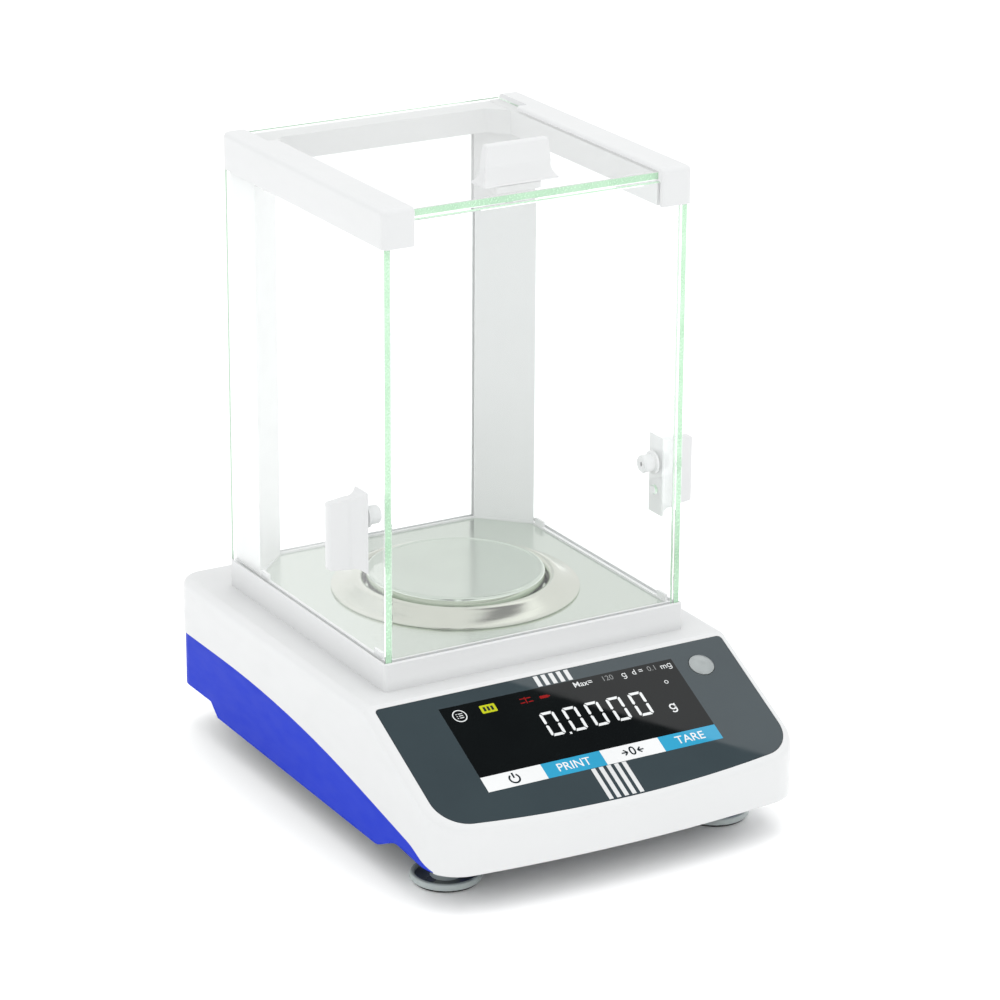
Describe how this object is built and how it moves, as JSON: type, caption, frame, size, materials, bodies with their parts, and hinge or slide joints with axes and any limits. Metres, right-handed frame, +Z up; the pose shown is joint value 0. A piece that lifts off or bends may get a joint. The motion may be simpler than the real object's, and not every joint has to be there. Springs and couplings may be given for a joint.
{
  "type": "analytical balance",
  "caption": "Bench analytical balance: low wedge-shaped base with sloping touch panel, round steel pan with draught ring, and a glass draught shield with sliding side and top doors.",
  "frame": {"origin": "on the table under the middle of the balance, at the bottom centre of its box", "axes": "+Z up, the operator and the sloping panel are on the -Y side, +X is the operator's right"},
  "size_m": [0.211, 0.292, 0.347],
  "materials": {
    "white_plastic": "fine satin moulded plastic, off-white",
    "blue_plastic": "satin moulded plastic, royal blue",
    "grey_plastic": "satin moulded plastic, light grey",
    "black_plastic": "matt moulded plastic, black",
    "panel_glass": "glossy dark slate front with printed keys",
    "clear_glass": "clear float glass with ground green edges",
    "level_glass": "clear domed window over pale fluid",
    "display": "glossy black display in a metal tray",
    "board": "green circuit board",
    "steel_satin": "satin stainless steel",
    "steel_polished": "polished stainless steel",
    "aluminium": "machined aluminium",
    "pot_steel": "nickel-plated soft iron",
    "copper": "enamelled copper winding",
    "brass": "machined brass",
    "rubber": "soft dark rubber",
    "screw_steel": "zinc-plated steel",
    "socket_metal": "nickel-plated sheet"
  },
  "bodies": {
    "root": {"upper_housing": "white_plastic", "lower_housing": "blue_plastic", "front_panel": "panel_glass", "display_module": "display", "display_board": "board", "level_cup": "black_plastic", "level_vial": "level_glass", "main_board": "board", "connector_plate": "black_plastic", "serial_port": "socket_metal", "usb_port": "socket_metal", "power_jack": "black_plastic", "chassis_plate": "aluminium", "cell_frame": "aluminium", "upper_guide": "aluminium", "lower_guide": "aluminium", "magnet_pot": "pot_steel", "position_sensor": "black_plastic", "shield_base": "white_plastic", "floor_plate": "steel_satin", "rear_crossbar": "white_plastic", "front_pane": "clear_glass", "rear_pane": "clear_glass", "foot_inserts": "brass", "hook_cover_screw": "screw_steel", "board_screws": "screw_steel", "chassis_screws": "screw_steel", "housing_screws": "screw_steel", "shield_screws": "screw_steel", "right_rear_post": "white_plastic", "right_rail": "white_plastic", "left_rear_post": "white_plastic", "left_rail": "white_plastic"},
    "left_door": {"left_door_glass": "clear_glass", "left_door_handle": "white_plastic", "left_door_knob": "white_plastic"},
    "right_door": {"right_door_glass": "clear_glass", "right_door_handle": "white_plastic", "right_door_knob": "white_plastic"},
    "top_door": {"top_glass": "clear_glass", "top_handle": "white_plastic", "top_plate": "white_plastic"},
    "pan_hanger": {"pan_carrier": "aluminium", "pan_support": "aluminium", "weighing_hook": "steel_polished"},
    "pan": {"weighing_pan": "steel_satin"},
    "ring": {"draft_ring": "steel_polished"},
    "lever": {"coil_lever": "aluminium", "force_coil": "copper"},
    "hatch_cover": {"hook_cover": "blue_plastic"},
    "front_left_pad": {"front_left_foot_pad": "rubber"},
    "front_left_screw": {"front_left_foot_screw": "grey_plastic"},
    "front_right_pad": {"front_right_foot_pad": "rubber"},
    "front_right_screw": {"front_right_foot_screw": "grey_plastic"},
    "rear_left_pad": {"rear_left_foot_pad": "rubber"},
    "rear_left_screw": {"rear_left_foot_screw": "grey_plastic"},
    "rear_right_pad": {"rear_right_foot_pad": "rubber"},
    "rear_right_screw": {"rear_right_foot_screw": "grey_plastic"}
  },
  "joints": [
    {"name": "left_door_slide", "type": "slide", "parent": "root", "child": "left_door", "axis": [0, 1, 0], "range_m": [0, 0.108]},
    {"name": "right_door_slide", "type": "slide", "parent": "root", "child": "right_door", "axis": [0, 1, 0], "range_m": [0, 0.108]},
    {"name": "top_door_slide", "type": "slide", "parent": "root", "child": "top_door", "axis": [0, 1, 0], "range_m": [0, 0.118]},
    {"name": "hanger_travel", "type": "slide", "parent": "root", "child": "pan_hanger", "axis": [0, 0, 1], "range_m": [-0.0005, 0], "stiffness_N_per_m": 4000, "springref_m": 0.0012},
    {"name": "pan_lift", "type": "slide", "parent": "pan_hanger", "child": "pan", "axis": [0, 0, 1], "range_m": [0, 0.04]},
    {"name": "ring_lift", "type": "slide", "parent": "root", "child": "ring", "axis": [0, 0, 1], "range_m": [0, 0.04]},
    {"name": "lever_tilt", "type": "hinge", "parent": "root", "child": "lever", "pos_m": [0, 0.05, 0.066], "axis": [1, 0, 0], "range_deg": [0, 2.4]},
    {"name": "hatch_swing", "type": "hinge", "parent": "root", "child": "hatch_cover", "pos_m": [0.0195, 0.02835, 0.0153], "axis": [0, 0, 1], "range_deg": [-110, 0]},
    {"name": "front_left_foot_height", "type": "slide", "parent": "root", "child": "front_left_pad", "axis": [0, 0, 1], "range_m": [-0.005, 0]},
    {"name": "front_left_foot_turn", "type": "hinge", "parent": "front_left_pad", "child": "front_left_screw", "pos_m": [-0.0782, -0.0995, 0.01], "axis": [0, 0, 1], "range_deg": [-1440.5, 0]},
    {"name": "front_right_foot_height", "type": "slide", "parent": "root", "child": "front_right_pad", "axis": [0, 0, 1], "range_m": [-0.005, 0]},
    {"name": "front_right_foot_turn", "type": "hinge", "parent": "front_right_pad", "child": "front_right_screw", "pos_m": [0.0782, -0.0995, 0.01], "axis": [0, 0, 1], "range_deg": [-1440.5, 0]},
    {"name": "rear_left_foot_height", "type": "slide", "parent": "root", "child": "rear_left_pad", "axis": [0, 0, 1], "range_m": [-0.005, 0]},
    {"name": "rear_left_foot_turn", "type": "hinge", "parent": "rear_left_pad", "child": "rear_left_screw", "pos_m": [-0.05, 0.117, 0.01], "axis": [0, 0, 1], "range_deg": [-1440.5, 0]},
    {"name": "rear_right_foot_height", "type": "slide", "parent": "root", "child": "rear_right_pad", "axis": [0, 0, 1], "range_m": [-0.005, 0]},
    {"name": "rear_right_foot_turn", "type": "hinge", "parent": "rear_right_pad", "child": "rear_right_screw", "pos_m": [0.05, 0.117, 0.01], "axis": [0, 0, 1], "range_deg": [-1440.5, 0]}
  ],
  "couplings": [
    {"joint": "lever_tilt", "follows": "hanger_travel", "rad_per_m": -80},
    {"joint": "front_left_foot_turn", "follows": "front_left_foot_height", "rad_per_m": 5026.5},
    {"joint": "front_right_foot_turn", "follows": "front_right_foot_height", "rad_per_m": 5026.5},
    {"joint": "rear_left_foot_turn", "follows": "rear_left_foot_height", "rad_per_m": 5026.5},
    {"joint": "rear_right_foot_turn", "follows": "rear_right_foot_height", "rad_per_m": 5026.5}
  ]
}
